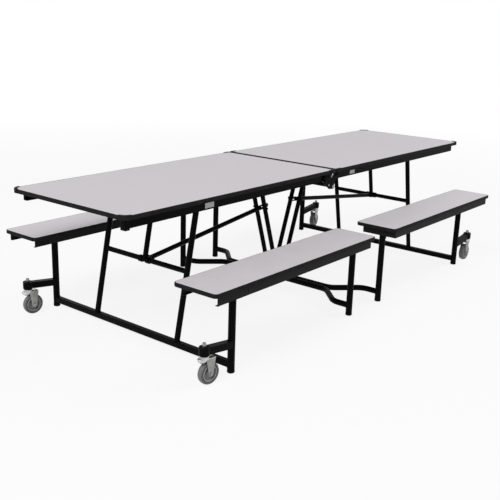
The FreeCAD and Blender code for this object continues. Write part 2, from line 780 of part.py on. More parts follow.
saveBothHalves("outer_bench_legs", outerBenchLegs())
saveBothHalves("outer_glides", bothSides(glide(-benchLegX)))
saveBothHalves("floor_bar", [floorBar()])
saveBothHalves("table_legs", tableLegs())
saveBothHalves("cross_brace", crossBrace())
saveBothHalves("link_bracket", linkBracket())
saveBothHalves("caster_arms", casterArms())
saveBothHalves("link_tube", [linkTube()])
saveBothHalves("centre_bar", [centreBar()])
saveBothHalves("inner_bench_legs", innerLegs())
saveBothHalves("inner_glides", bothSides(glide(-centreLegX)))
saveBothHalves("vee_legs", veeLegs())

for corner in swivelAngle:
    save(corner + "_caster_fork", placed(casterFork(), corner))
    save(corner + "_caster_wheel", placed(casterWheel(), corner))
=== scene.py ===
import bpy
import bmesh
import json
import math
from mathutils import Matrix, Vector


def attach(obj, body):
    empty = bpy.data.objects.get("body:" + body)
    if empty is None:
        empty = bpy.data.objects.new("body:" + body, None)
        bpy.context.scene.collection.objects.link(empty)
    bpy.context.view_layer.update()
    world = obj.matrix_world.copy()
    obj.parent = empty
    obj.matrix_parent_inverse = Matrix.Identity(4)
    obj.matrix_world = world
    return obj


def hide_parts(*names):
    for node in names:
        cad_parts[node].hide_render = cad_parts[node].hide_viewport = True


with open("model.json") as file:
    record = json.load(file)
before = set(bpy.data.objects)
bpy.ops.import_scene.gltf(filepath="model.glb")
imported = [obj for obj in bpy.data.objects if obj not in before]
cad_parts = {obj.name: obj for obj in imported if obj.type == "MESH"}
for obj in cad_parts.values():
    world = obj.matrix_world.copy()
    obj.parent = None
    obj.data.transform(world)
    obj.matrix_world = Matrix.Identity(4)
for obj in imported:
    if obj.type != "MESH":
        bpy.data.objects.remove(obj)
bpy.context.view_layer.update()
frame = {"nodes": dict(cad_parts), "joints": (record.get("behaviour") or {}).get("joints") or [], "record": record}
nodes = frame["nodes"]
joints = {joint["name"]: joint for joint in frame["joints"]}
print("frame loaded,", len(nodes), "nodes")

halves = (("left", -1), ("right", 1))    # each half of the table, with the sign of its X
rows = (("near", -1), ("far", 1))        # each row of benches, with the sign of its Y


class Wire:
    # a number on its way through the shader nodes: maths on it adds Math nodes
    def __init__(self, owner, socket):
        self.owner = owner
        self.socket = socket

    def combine(self, operation, first, second):
        return self.owner.node("ShaderNodeMath", {"operation": operation}, {0: first, 1: second})

    def __add__(self, other):
        return self.combine("ADD", self, other)

    def __radd__(self, other):
        return self.combine("ADD", other, self)

    def __sub__(self, other):
        return self.combine("SUBTRACT", self, other)

    def __rsub__(self, other):
        return self.combine("SUBTRACT", other, self)

    def __mul__(self, other):
        return self.combine("MULTIPLY", self, other)

    def __rmul__(self, other):
        return self.combine("MULTIPLY", other, self)

    def __lt__(self, other):
        return self.combine("LESS_THAN", self, other)

    def __gt__(self, other):
        return self.combine("GREATER_THAN", self, other)


class ShaderTree:
    # the nodes of a material or of the world
    def __init__(self, holder):
        holder.use_nodes = True
        self.tree = holder.node_tree
        self.tree.nodes.clear()

    def node(self, kind, settings=None, sockets=None, output=0):
        made = self.tree.nodes.new(kind)
        for name, value in (settings or {}).items():
            setattr(made, name, value)
        for name, value in (sockets or {}).items():
            if isinstance(value, Wire):
                self.tree.links.new(value.socket, made.inputs[name])
            else:
                made.inputs[name].default_value = value
        return Wire(self, made.outputs[output]) if made.outputs else made

    def mixed(self, factor, first, second):
        return self.node("ShaderNodeMix", {"data_type": "RGBA"}, {0: factor, 6: first, 7: second}, 2)

    def between(self, value, low, high):
        # 0 at low, 1 at high, clamped
        return self.node("ShaderNodeMapRange", {"clamp": True},
                         {"Value": value, "From Min": low, "From Max": high, "To Min": 0.0, "To Max": 1.0})

    def seenBy(self, *rays):
        # 1 for these kinds of ray, 0 for the light that falls on the table
        total = self.node("ShaderNodeLightPath", output="Is " + rays[0] + " Ray")
        for ray in rays[1:]:
            total = total + self.node("ShaderNodeLightPath", output="Is " + ray + " Ray")
        return total


class Paint(ShaderTree):
    # one material under construction, patterned on Object coordinates
    def __init__(self, name):
        self.material = bpy.data.materials.new(name)
        super().__init__(self.material)
        self.place = self.node("ShaderNodeTexCoord", output="Object")

    def noise(self, scale, detail, roughness, stretch=None):
        place = self.place
        if stretch:
            place = self.node("ShaderNodeMapping", None, {"Vector": place, "Scale": stretch})
        return self.node("ShaderNodeTexNoise", None,
                         {"Vector": place, "Scale": scale, "Detail": detail, "Roughness": roughness})

    def cells(self, scale):
        return self.node("ShaderNodeTexVoronoi", {"feature": "F1"},
                         {"Vector": self.place, "Scale": scale}, "Distance")

    def height(self):
        return self.node("ShaderNodeSeparateXYZ", None, {0: self.place}, "Z")

    def finish(self, colour, roughness, grain, bump, metallic=0.0, gloss=0.5):
        # bump: strength and distance of the grain
        strength, distance = bump
        relief = self.node("ShaderNodeBump", None,
                           {"Height": grain, "Strength": strength, "Distance": distance})
        shader = self.node("ShaderNodeBsdfPrincipled", None,
                           {"Base Color": colour, "Roughness": roughness, "Metallic": metallic,
                            "Specular IOR Level": gloss, "Normal": relief})
        self.node("ShaderNodeOutputMaterial", None, {"Surface": shader})
        return self.material


def grey(value, tint=(1.0, 1.0, 1.0)):
    return (value * tint[0], value * tint[1], value * tint[2], 1.0)


laminateLook = {"tint": (1.0, 0.952, 0.998), "base": 0.67, "light": 0.755, "dark": 0.535, "cloudShade": 0.965,
                "cloudScale": 9.0, "fleckScale": 520.0, "fleckAmount": 0.55, "spotScale": 145.6,
                "spotAmount": 0.45, "roughness": 0.36, "cloudRough": 0.10, "backerRough": 0.25, "gloss": 0.15,
                "backer": (0.30, 0.27, 0.235, 1.0), "backerDark": (0.21, 0.185, 0.16, 1.0),
                "backerRise": 0.001, "grainScale": 60.0, "grainStretch": (1.0, 9.0, 1.0),
                "poreScale": 1400.0, "poreBump": (0.10, 0.0004)}


def laminateBoard(name, underside, paintedLightness):
    # grey melamine with a fine fleck above, brown-grey backer sheet below the given height
    look = laminateLook
    paint = Paint(name)
    cloud = paint.noise(look["cloudScale"], detail=4.0, roughness=0.6)
    fleck = paint.noise(look["fleckScale"], detail=3.0, roughness=0.7)
    spots = paint.noise(look["spotScale"], detail=2.0, roughness=0.6)
    tint = look["tint"]
    # a value above 1 paints the same melamine lighter, as painted light
    base, light, dark = (look[tone] * paintedLightness for tone in ("base", "light", "dark"))
    shaded = grey(base * look["cloudShade"], tint)
    field = paint.mixed(paint.between(cloud, 0.3, 0.7), shaded, grey(base, tint))
    field = paint.mixed(paint.between(fleck, 0.60, 0.74) * look["fleckAmount"], field, grey(dark, tint))
    field = paint.mixed(paint.between(spots, 0.60, 0.76) * look["spotAmount"], field, grey(light, tint))
    grain = paint.noise(look["grainScale"], detail=5.0, roughness=0.65, stretch=look["grainStretch"])
    backer = paint.mixed(paint.between(grain, 0.35, 0.7), look["backer"], look["backerDark"])
    below = paint.height() < underside + look["backerRise"]
    colour = paint.mixed(below, field, backer)
    rough = look["roughness"] + paint.between(cloud, 0.2, 0.8) * look["cloudRough"]
    rough = rough + below * look["backerRough"]
    pores = paint.noise(look["poreScale"], detail=2.0, roughness=0.5)
    return paint.finish(colour, rough, pores, look["poreBump"], gloss=look["gloss"])


coatLook = {"cloudScale": 14.0, "lift": 1.45, "liftTint": (1.0, 0.99, 1.0), "cloudRough": 0.10,
            "peelScale": 620.0, "peelBump": (0.16, 0.0006),
            "scratchScale": 95.0, "scratchStretch": (1.0, 1.0, 0.35), "scratchEdge": (0.63, 0.72),
            "scuffHeights": (0.02, 0.11), "scuffAmount": 0.6, "scuffTone": 0.16, "scuffRough": 0.3}


def powderCoat(name, base, roughness, gloss, worn=True):
    # sprayed coat with a faint orange peel, scuffed grey just above the floor
    look = coatLook
    paint = Paint(name)
    cloud = paint.noise(look["cloudScale"], detail=3.0, roughness=0.6)
    peel = paint.noise(look["peelScale"], detail=2.0, roughness=0.5)
    lifted = grey(base * look["lift"], look["liftTint"])
    colour = paint.mixed(paint.between(cloud, 0.35, 0.75), grey(base), lifted)
    rough = roughness + paint.between(cloud, 0.3, 0.8) * look["cloudRough"]
    if worn:
        scratches = paint.noise(look["scratchScale"], detail=6.0, roughness=0.75,
                                stretch=look["scratchStretch"])
        low = 1.0 - paint.between(paint.height(), *look["scuffHeights"])
        scuff = paint.between(scratches, *look["scratchEdge"]) * low * look["scuffAmount"]
        colour = paint.mixed(scuff, colour, grey(look["scuffTone"]))
        rough = rough + scuff * look["scuffRough"]
    return paint.finish(colour, rough, peel, look["peelBump"], gloss=gloss)


mouldedLook = {"cloudScale": 30.0, "lift": 1.6, "liftTint": (1.0, 0.99, 1.01), "cloudRough": 0.12,
               "gloss": 0.025, "pebbleScale": 900.0, "pebbleBump": (0.12, 0.0005)}


def mouldedBlack(name, base, roughness):
    # black moulded edging with a fine pebble
    look = mouldedLook
    paint = Paint(name)
    pebble = paint.cells(look["pebbleScale"])
    cloud = paint.noise(look["cloudScale"], detail=3.0, roughness=0.6)
    lifted = grey(base * look["lift"], look["liftTint"])
    colour = paint.mixed(paint.between(cloud, 0.4, 0.7), grey(base), lifted)
    rough = roughness + paint.between(cloud, 0.3, 0.7) * look["cloudRough"]
    return paint.finish(colour, rough, pebble, look["pebbleBump"], gloss=look["gloss"])


platedLook = {"cloudScale": 45.0, "shade": 0.68, "shadeTint": (1.0, 0.99, 0.95), "cloudRough": 0.12,
              "spangleScale": 170.0, "spangleRough": 0.18,
              "lineScale": 300.0, "lineStretch": (1.0, 1.0, 12.0), "lineBump": (0.10, 0.0004)}


def platedSteel(name, base, roughness, tint):
    # zinc plate: cloudy spangle with fine drawn lines
    look = platedLook
    paint = Paint(name)
    spangle = paint.cells(look["spangleScale"])
    cloud = paint.noise(look["cloudScale"], detail=4.0, roughness=0.6)
    lines = paint.noise(look["lineScale"], detail=2.0, roughness=0.6, stretch=look["lineStretch"])
    tone = paint.between(cloud, 0.3, 0.75)
    colour = paint.mixed(tone, grey(base, tint), grey(base * look["shade"], look["shadeTint"]))
    rough = roughness + spangle * look["spangleRough"] + tone * look["cloudRough"]
    return paint.finish(colour, rough, lines, look["lineBump"], metallic=1.0)


rubberLook = {"tint": (1.0, 0.99, 1.04), "dustScale": 38.0, "dust": 1.4, "dustTint": (1.0, 0.99, 1.02),
              "dustRough": 0.15, "grainScale": 800.0, "grainBump": (0.22, 0.0005)}


def greyRubber(name, base, roughness, worn, recessShade):
    # dusty, with a fine mould grain
    # the piece's own attribute makes it lighter where it rolls (1), partly rolling wear and partly painted light
    # on the lit tread, and darker in its recesses (-1), which is painted shade
    look = rubberLook
    paint = Paint(name)
    dust = paint.noise(look["dustScale"], detail=5.0, roughness=0.65)
    grain = paint.noise(look["grainScale"], detail=2.0, roughness=0.5)
    wearAndShading = paint.node("ShaderNodeAttribute", {"attribute_name": "wearAndShading"}, output="Fac")
    dusty = grey(base * look["dust"], look["dustTint"])
    colour = paint.mixed(paint.between(dust, 0.38, 0.72), grey(base, look["tint"]), dusty)
    # lighter tread: partly rolling wear, partly painted light on the lit tread
    colour = paint.mixed(paint.between(wearAndShading, 0.0, 1.0), colour, grey(worn))
    # painted shade: darker in the recesses
    colour = paint.mixed(paint.between(wearAndShading, 0.0, -1.0), colour, grey(recessShade))
    rough = roughness + paint.between(dust, 0.3, 0.7) * look["dustRough"]
    return paint.finish(colour, rough, grain, look["grainBump"])


plateLook = {"dark": 0.40, "light": 0.52, "roughness": 0.42, "drawnRough": 0.15, "metallic": 0.3,
             "drawnScale": 420.0, "drawnStretch": (0.05, 1.0, 1.0), "drawnBump": (0.08, 0.0003)}


def satinPlate(name):
    # bare drawn metal, with nothing on it
    look = plateLook
    paint = Paint(name)
    drawn = paint.noise(look["drawnScale"], detail=3.0, roughness=0.6, stretch=look["drawnStretch"])
    colour = paint.mixed(paint.between(drawn, 0.35, 0.65), grey(look["dark"]), grey(look["light"]))
    rough = look["roughness"] + drawn * look["drawnRough"]
    return paint.finish(colour, rough, drawn, look["drawnBump"], metallic=look["metallic"])


tableBoard = laminateBoard("greyLaminateTable", underside=0.718, paintedLightness=1.0)
# the seats are the table's melamine painted 10% lighter, to make up for the shade the table casts on the benches
seatBoardPaintedLighter = laminateBoard("greyLaminateSeatPaintedLighter", underside=0.426, paintedLightness=1.10)
blackCoat = powderCoat("blackPowderCoat", base=0.0030, roughness=0.32, gloss=0.028)
railCoat = powderCoat("charcoalRailCoat", base=0.0150, roughness=0.46, gloss=0.05, worn=False)
blackEdge = mouldedBlack("blackMouldedEdge", base=0.0145, roughness=0.50)
blackFoot = mouldedBlack("blackFootCap", base=0.008, roughness=0.52)
zincPlate = platedSteel("zincPlate", base=0.70, roughness=0.17, tint=(1.0, 1.0, 1.01))
forkSteel = platedSteel("forkSteel", base=0.37, roughness=0.36, tint=(0.985, 1.0, 0.97))
plainSteel = platedSteel("plainSteel", base=0.38, roughness=0.32, tint=(1.0, 0.99, 0.97))
# the third tone is the lighter tread, partly rolling wear and partly painted light; the last tone is painted shade
# in the recesses, used on the hub
greyTyre = greyRubber("greyTyre", base=0.095, roughness=0.50, worn=0.18, recessShade=0.04)
greyHub = greyRubber("greyHub", base=0.28, roughness=0.36, worn=0.30, recessShade=0.20)
barePlate = satinPlate("barePlate")

finishes = {"board": tableBoard, "edge": blackEdge, "frame": blackCoat, "seat_rail": railCoat,
            "bright_steel": plainSteel, "zinc": zincPlate, "wheel": greyTyre, "glide": blackFoot}
slotOf = {part["node"]: part["material_slot"] for part in frame["record"]["subparts"]}
for name, piece in nodes.items():
    # seats take the copy of the melamine that is painted lighter
    material = seatBoardPaintedLighter if name.endswith("_seat") else finishes[slotOf[name]]
    piece.data.materials.clear()
    piece.data.materials.append(material)
print("materials done")


def addPiece(name, mesh, material, body, replaced=()):
    # material is None where the mesh has its own already
    piece = bpy.data.objects.new(name, mesh)
    bpy.context.scene.collection.objects.link(piece)
    if material:
        mesh.materials.clear()
        mesh.materials.append(material)
    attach(piece, body)
    if replaced:
        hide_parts(*replaced)
    return piece


# distances in metres, angles in degrees
meshRules = {"mergeWithin": 1e-6, "samePoint": 1e-7, "bevelAbove": 35.0, "smoothBelow": 40.0}


def mergeAndTurn(form):
    # joins the doubles and turns every face outwards
    bmesh.ops.remove_doubles(form, verts=form.verts, dist=meshRules["mergeWithin"])
    bmesh.ops.recalc_face_normals(form, faces=form.faces)


def toMesh(name, form, smoothBelow=meshRules["smoothBelow"]):
    mergeAndTurn(form)
    mesh = bpy.data.meshes.new(name)
    form.to_mesh(mesh)
    form.free()
    mesh.shade_smooth()
    mesh.set_sharp_from_angle(angle=math.radians(smoothBelow))
    return mesh


def softened(name, form, width, segments=2):
    # bevels the sharp edges of a finished form
    mergeAndTurn(form)
    turn = math.radians(meshRules["bevelAbove"])
    sharp = [edge for edge in form.edges if len(edge.link_faces) == 2 and edge.calc_face_angle(0.0) > turn]
    bmesh.ops.bevel(form, geom=sharp, offset=width, segments=segments, profile=0.5, affect="EDGES",
                    clamp_overlap=True)
    return toMesh(name, form)


def arc(radiusX, radiusY, start, sweep, steps, centre=(0.0, 0.0)):
    # points along part of an ellipse, from the start angle on in equal steps, angles in degrees
    angles = [math.radians(start + sweep * step / steps) for step in range(steps + 1)]
    x, y = centre
    return [(x + radiusX * math.cos(angle), y + radiusY * math.sin(angle)) for angle in angles]


def lathe(form, profile, matrix, turns):
    # profile: (radius, height) pairs turned about local Z, closed from last to first, then moved by matrix
    rings = []
    for turn in range(turns):
        angle = 2 * math.pi * turn / turns
        rings.append([form.verts.new(matrix @ Vector((r * math.cos(angle), r * math.sin(angle), h)))
                      for r, h in profile])
    count = len(profile)
    for turn in range(turns):
        here, there = rings[turn], rings[(turn + 1) % turns]
        for i in range(count):
            j = (i + 1) % count
            distinct = []    # points on the axis fall together
            for corner in (here[i], there[i], there[j], here[j]):
                if all((corner.co - other.co).length > meshRules["samePoint"] for other in distinct):
                    distinct.append(corner)
            if len(distinct) > 2:
                form.faces.new(distinct)


def prism(form, outline, y1, y2, matrix=Matrix.Identity(4)):
    # flat plate: outline in local XZ, thickness along local Y
    near = [form.verts.new(matrix @ Vector((x, y1, z))) for x, z in outline]
    far = [form.verts.new(matrix @ Vector((x, y2, z))) for x, z in outline]
    form.faces.new(near)
    form.faces.new(list(reversed(far)))
    count = len(outline)
    for i in range(count):
        j = (i + 1) % count
        form.faces.new([near[j], near[i], far[i], far[j]])


def roundedOutline(x1, y1, x2, y2, radii, steps):
    # (point, outward direction) pairs, counter-clockwise from the (x1, y1) corner
    spots = []
    corners = [(x1, y1, 1, 1, 180), (x2, y1, -1, 1, 270), (x2, y2, -1, -1, 0), (x1, y2, 1, -1, 90)]
    for (x, y, inwardX, inwardY, start), r in zip(corners, radii):
        centre = (x + inwardX * r, y + inwardY * r)
        for out in arc(1.0, 1.0, start, 90.0, steps):
            spots.append(((centre[0] + r * out[0], centre[1] + r * out[1]), out))
    return spots


def mirroredX(spots):
    return [((-p[0], p[1]), (-n[0], n[1])) for p, n in reversed(spots)]


def sweepRing(form, outline, profile, hingeSide=0, hingeLap=0.0):
    # profile: (outward offset, height, lip) carried round the outline, closed both ways
    # where the outline faces the hinge, points with a lip of 1 reach in further by hingeLap
    straightAhead = 0.99
    rings = []
    for (x, y), (outX, outY) in outline:
        reach = hingeLap if outX * hingeSide > straightAhead else 0.0
        shifted = [(off - lip * reach, z) for off, z, lip in profile]
        rings.append([form.verts.new((x + outX * off, y + outY * off, z)) for off, z in shifted])
    for a, ring in enumerate(rings):
        following = rings[(a + 1) % len(rings)]
        for i in range(len(profile)):
            j = (i + 1) % len(profile)
            form.faces.new([ring[i], following[i], following[j], ring[j]])


# moulded bands: sizes are the left half's, near or far alike
topBand = {"ends": (-1.530, -0.008), "halfWidth": 0.381, "bottom": 0.718, "top": 0.737,
           "radii": (0.045, 0.006, 0.006, 0.045), "cornerSteps": 12,
           "depth": 0.004, "lap": 0.0022, "hingeLap": 0.0042, "nose": 0.0026}
seatBand = {"ends": (-1.352, -0.097), "sides": (0.470, 0.715), "bottom": 0.426, "top": 0.445,
            "radii": (0.022, 0.022, 0.022, 0.022), "cornerSteps": 10,
            "depth": 0.003, "lap": 0.0012, "nose": 0.0026}
bandShape = {"belly": 0.0004, "noseSteps": 4, "lipTop": (0.0003, 0.0002), "lipBottom": -0.0004}
guardSize = {"length": 0.045, "proud": 0.0025, "rise": 0.0025, "lap": 0.0115, "bite": 0.001,
             "softness": 0.0018, "steps": 12}


def bandProfile(size):
    # rounded noses, slight belly between them, and a thin lip that laps the board's face
    low, high, depth, nose = size["bottom"], size["top"], size["depth"], size["nose"]
    noseX, steps = -bandShape["belly"] - nose, bandShape["noseSteps"]
    outside = [(-depth, low)] + arc(nose, nose, -90, 90, steps, centre=(noseX, low + nose))
    outside.append((0.0, (low + high) / 2))
    outside += arc(nose, nose, 0, 90, steps, centre=(noseX, high - nose))
    tip, under = -depth - size["lap"], high + bandShape["lipBottom"]
    atBoard, atTip = bandShape["lipTop"]
    lip = [(-depth, high + atBoard, 0), (tip, high + atTip, 1), (tip, under, 1), (-depth, under, 0)]
    return [(x, z, 0) for x, z in outside] + lip


def bandMesh(name, size, y1, y2, flip):
    outline = roundedOutline(size["ends"][0], y1, size["ends"][1], y2, size["radii"], size["cornerSteps"])
    if flip < 0:
        outline = mirroredX(outline)
    form = bmesh.new()
    sweepRing(form, outline, bandProfile(size), flip, size.get("hingeLap", 0.0))
    return toMesh(name, form)


def hingeGuards(form, flip):
    # blocks over both corners at the hinge
    t, g = topBand, guardSize
    x1, x2 = flip * (t["ends"][1] - g["length"]), flip * t["ends"][1]
    low, high = t["bottom"], t["top"] + g["rise"]
    for sign in (-1, 1):
        y1, y2 = sorted((sign * (t["halfWidth"] - g["lap"]), sign * (t["halfWidth"] + g["proud"])))
        prism(form, [(x1, low), (x2, low), (x2, high), (x1, high)], y1, y2)


def outerGuards(form, flip):
    # caps carried round both outer corners
    t, g = topBand, guardSize
    low, high, radius = t["bottom"], t["top"] + g["rise"], t["radii"][0]
    inner, outer = radius - g["lap"], radius + g["proud"]
    section = [(inner, t["top"] - g["bite"]), (radius - g["bite"], low), (outer, low), (outer, high),
               (inner, high)]
    for sign in (-1, 1):
        centreX, centreY = t["ends"][0] + radius, sign * (t["halfWidth"] - radius)
        layers = []
        for outX, outY in arc(1.0, 1.0, 90, 90, g["steps"]):
            spots = [(flip * (centreX + outX * r), centreY + sign * outY * r, z) for r, z in section]
            layers.append([form.verts.new(spot) for spot in spots])
        for here, there in zip(layers, layers[1:]):
            for i in range(len(section)):
                j = (i + 1) % len(section)
                form.faces.new([here[i], there[i], there[j], here[j]])
        form.faces.new(layers[0])
        form.faces.new(list(reversed(layers[-1])))


def makeTopBand(side, flip):
    name, half = side + "TopBand", topBand["halfWidth"]
    addPiece(name, bandMesh(name, topBand, -half, half, flip), blackEdge, side + "_top",
             (side + "_table_edge",))


def makeCornerGuards(side, flip):
    name = side + "CornerGuards"
    form = bmesh.new()
    hingeGuards(form, flip)
    outerGuards(form, flip)
    addPiece(name, softened(name, form, guardSize["softness"]), blackEdge, side + "_top")


def makeSeatBand(side, flip, row, rowSign):
    name = side + row.capitalize() + "SeatBand"
    y1, y2 = sorted(rowSign * y for y in seatBand["sides"])
    addPiece(name, bandMesh(name, seatBand, y1, y2, flip), blackEdge, side + "_" + row + "_bench",
             (side + "_" + row + "_seat_edge",))


for side, sideSign in halves:
    flip = -sideSign    # 1 keeps the left half's X, -1 mirrors it
    makeTopBand(side, flip)
    makeCornerGuards(side, flip)
    for row, rowSign in rows:
        makeSeatBand(side, flip, row, rowSign)
print("edge bands done")


def casterPlace(corner):
    # base: local X along the trail, local Z up, origin on the floor under the kingpin
    # axle: local Z along the axle, origin at the wheel's centre
    swivel, roll = joints[corner + "_swivel"]["pos_m"], joints[corner + "_roll"]["pos_m"]
    along = Vector(roll) - Vector(swivel)
    trail, height = math.hypot(along.x, along.y), roll[2]
    base = Matrix.Translation((swivel[0], swivel[1], 0.0))
    base = base @ Matrix.Rotation(math.atan2(along.y, along.x), 4, "Z")
    axle = base @ Matrix.Translation((trail, 0.0, height)) @ Matrix.Rotation(math.radians(90), 4, "X")
    return base, axle, trail, height


def markWearAndShading(mesh, matrix, amount):
    # keeps on each point what amount gives for its radius about the axle and distance from the middle plane
    # where this is 1 the rubber is painted lighter, where it is -1 it gets painted shade
    wearAndShading = mesh.attributes.new("wearAndShading", "FLOAT", "POINT")
    back = matrix.inverted()
    for value, vertex in zip(wearAndShading.data, mesh.vertices):
        spot = back @ vertex.co
        value.value = amount(math.hypot(spot.x, spot.y), abs(spot.z))


wheelSize = {"radius": 0.052, "halfWidth": 0.014, "tyre": 0.011, "turns": 72,
             "shoulder": ((0.0060, 0.0), (0.0032, 0.0010), (0.0014, 0.0035)),    # drop from the tread, inset
             "treadDrop": 0.0003, "treadShare": 0.45, "footIn": 0.0015, "footRise": 0.002,
             "wornDepth": 0.0025,
             "web": 0.0040, "hubRim": 0.0315, "groove": 0.0085, "boss": 0.0125, "bore": 0.00605,
             "edge": 0.001}


def makeTyre(corner, axle):
    # crowned tread with rounded shoulders
    w = wheelSize
    tread, half, rim = w["radius"], w["halfWidth"], w["radius"] - w["tyre"]
    wall = [(rim, half - w["footIn"]), (rim + w["footRise"], half)]
    wall += [(tread - drop, half - inset) for drop, inset in w["shoulder"]]
    wall.append((tread - w["treadDrop"], half * w["treadShare"]))
    profile = [(radius, -off) for radius, off in wall] + [(tread, 0.0)] + wall[::-1]
    form = bmesh.new()
    lathe(form, profile, axle, w["turns"])
    mesh = toMesh(corner + "Tyre", form, smoothBelow=50.0)
    # the tread is marked 1: painted lighter, partly rolling wear and partly painted light on the lit tread
    markWearAndShading(mesh, axle, lambda radius, off: 1.0 if radius > tread - w["wornDepth"] else 0.0)
    addPiece(corner + "Tyre", mesh, greyTyre, corner + "_wheel", (corner + "_caster_wheel",))


def makeHub(corner, axle):
    # raised boss, dished web, raised rim and a groove beside the tyre
    w = wheelSize
    half, web, boss, hubRim, e = w["halfWidth"], w["web"], w["boss"], w["hubRim"], w["edge"]
    rim = w["radius"] - w["tyre"]
    wall = [(w["bore"], half), (boss - e, half), (boss, half - e), (boss + e, web + e), (boss + 2 * e, web),
            (hubRim - 2 * e, web), (hubRim, web + 2 * e), (hubRim + e, half - e), (hubRim + 2 * e, half),
            (rim - 4 * e, half), (rim - 3 * e, half - e), (rim - 2.5 * e, w["groove"]), (rim, w["groove"])]
    form = bmesh.new()
    lathe(form, wall + [(radius, -off) for radius, off in wall[::-1]], axle, w["turns"])
    mesh = toMesh(corner + "Hub", form, smoothBelow=35.0)
    # the dished web and the groove are marked -1: painted shade in the recesses
    markWearAndShading(mesh, axle, lambda radius, off: -1.0 if off < w["groove"] + e else 0.0)
    addPiece(corner + "Hub", mesh, greyHub, corner + "_wheel")


nutShape = {"endScale": 0.90, "chamfer": 0.12}    # shares of the radius and of the height


def hexNut(form, matrix, radius, bottom, height):
    # six flats with a turned chamfer at both ends
    end, chamfer = nutShape["endScale"], nutShape["chamfer"]
    rings = []
    for share, scale in ((0.0, end), (chamfer, 1.0), (1.0 - chamfer, 1.0), (1.0, end)):
        ring = arc(radius * scale, radius * scale, 0, 300, steps=5)
        rings.append([form.verts.new(matrix @ Vector((x, y, bottom + height * share))) for x, y in ring])
    for low, high in zip(rings, rings[1:]):
        for i in range(6):
            j = (i + 1) % 6
            form.faces.new([low[i], low[j], high[j], high[i]])
    form.faces.new(list(reversed(rings[0])))
    form.faces.new(rings[-1])


layFlat = Matrix(((1, 0, 0, 0), (0, 0, 1, 0), (0, 1, 0, 0), (0, 0, 0, 1)))    # local Y becomes local Z
forkSize = {"top": 0.122, "inner": 0.017, "wall": 0.003, "halfWidth": 0.025, "eye": 0.013, "tuck": 0.003,
            "edge": 0.0006, "crown": 0.005, "crownBack": 0.034, "crownEdge": 0.00132,
            "bowl": 0.0170, "bowlRadius": 0.0194, "bowlShift": -0.0090, "bowlStretch": 1.25,
            "axle": 0.006, "head": 0.0080, "headHeight": 0.005, "tip": 0.001}
raceSize = {"radius": 0.022, "height": 0.012, "bore": 0.004,
            "rims": ((0.001, 0.0), (0.0, 0.001), (0.0, 0.0054), (0.0018, 0.0064), (0.0018, 0.0076),
                     (0.0004, 0.0086), (0.0004, 0.0100), (0.003, 0.012))}    # inset from the radius, rise
kingpinSize = {"radius": 0.008, "top": 0.196, "nutBottom": 0.1784, "nut": 0.0098, "nutHeight": 0.012,
               "chamfer": 0.001}


def makeForkBlades(corner, base, trail, height):
    # two pressed blades, half round below at the axle
    f = forkSize
    outline = [(trail + f["halfWidth"], f["top"] + f["tuck"]), (trail - f["halfWidth"], f["top"] + f["tuck"])]
    outline += arc(f["eye"], f["eye"], 195, 150, steps=10, centre=(trail, height))
    form = bmesh.new()
    for sign in (-1, 1):
        y1, y2 = sorted((sign * f["inner"], sign * (f["inner"] + f["wall"])))
        prism(form, outline, y1, y2, base)
    mesh = softened(corner + "ForkBlades", form, f["edge"])
    addPiece(corner + "ForkBlades", mesh, forkSteel, corner + "_fork", (corner + "_caster_fork",))


def makeForkCrown(corner, base, trail):
    # plate that is half round behind the kingpin, with a domed bowl under it
    f = forkSize
    top, outer, front = f["top"], f["inner"] + f["wall"], trail + f["halfWidth"]
    outline = [(front, -outer), (front, outer)] + arc(f["crownBack"], outer, 90, 180, steps=14)
    form = bmesh.new()
    prism(form, outline, top, top + f["crown"], base @ layFlat)
    inCrown = top + f["crown"] * 0.5    # the bowl ends inside the plate
    bowl = [(0.0, top - f["bowl"])] + arc(f["bowlRadius"], f["bowl"], -80, 80, steps=8, centre=(0.0, top))
    bowl += [(f["bowlRadius"], inCrown), (0.0, inCrown)]
    stretch = Matrix.Diagonal((f["bowlStretch"], 1.0, 1.0, 1.0))
    lathe(form, bowl, base @ Matrix.Translation((f["bowlShift"], 0.0, 0.0)) @ stretch, turns=40)
    mesh = softened(corner + "ForkCrown", form, f["crownEdge"], segments=3)
    addPiece(corner + "ForkCrown", mesh, zincPlate, corner + "_fork")


def makeRace(corner, base):
    # ball race between the crown and the arm, with a groove between its two rims
    r = raceSize
    start = forkSize["top"] + forkSize["crown"]
    profile = [(r["bore"], start)] + [(r["radius"] - inset, start + rise) for inset, rise in r["rims"]]
    form = bmesh.new()
    lathe(form, profile + [(r["bore"], start + r["height"])], base, turns=48)
    mesh = toMesh(corner + "Race", form, smoothBelow=35.0)
    addPiece(corner + "Race", mesh, zincPlate, corner + "_fork")


def makeKingpin(corner, base):
    # what shows of it above the arm, with its nut
    k = kingpinSize
    radius, start, tip, c = k["radius"], k["nutBottom"] + k["chamfer"], k["top"], k["chamfer"]
    form = bmesh.new()
    hexNut(form, base, k["nut"], k["nutBottom"], k["nutHeight"])
    profile = [(0.0, start), (radius, start), (radius, tip - c), (radius - c, tip), (0.0, tip)]
    lathe(form, profile, base, turns=24)
    mesh = toMesh(corner + "Kingpin", form, smoothBelow=35.0)
    addPiece(corner + "Kingpin", mesh, plainSteel, corner + "_fork")


def makeAxle(corner, axle):
    # bolt through both blades, with its head and nut
    f = forkSize
    outer = f["inner"] + f["wall"]
    end = outer + f["tip"]
    form = bmesh.new()
    for bottom in (outer, -outer - f["headHeight"]):
        hexNut(form, axle, f["head"], bottom, f["headHeight"])
    lathe(form, [(0.0, -end), (f["axle"], -end), (f["axle"], end), (0.0, end)], axle, turns=24)
    mesh = toMesh(corner + "Axle", form, smoothBelow=35.0)
    addPiece(corner + "Axle", mesh, plainSteel, corner + "_fork")


for corner in ("near_left", "far_left", "near_right", "far_right"):
    base, axle, trail, height = casterPlace(corner)
    makeTyre(corner, axle)
    makeHub(corner, axle)
    makeForkBlades(corner, base, trail, height)
    makeForkCrown(corner, base, trail)
    makeRace(corner, base)
    makeKingpin(corner, base)
    makeAxle(corner, axle)
print("casters done")


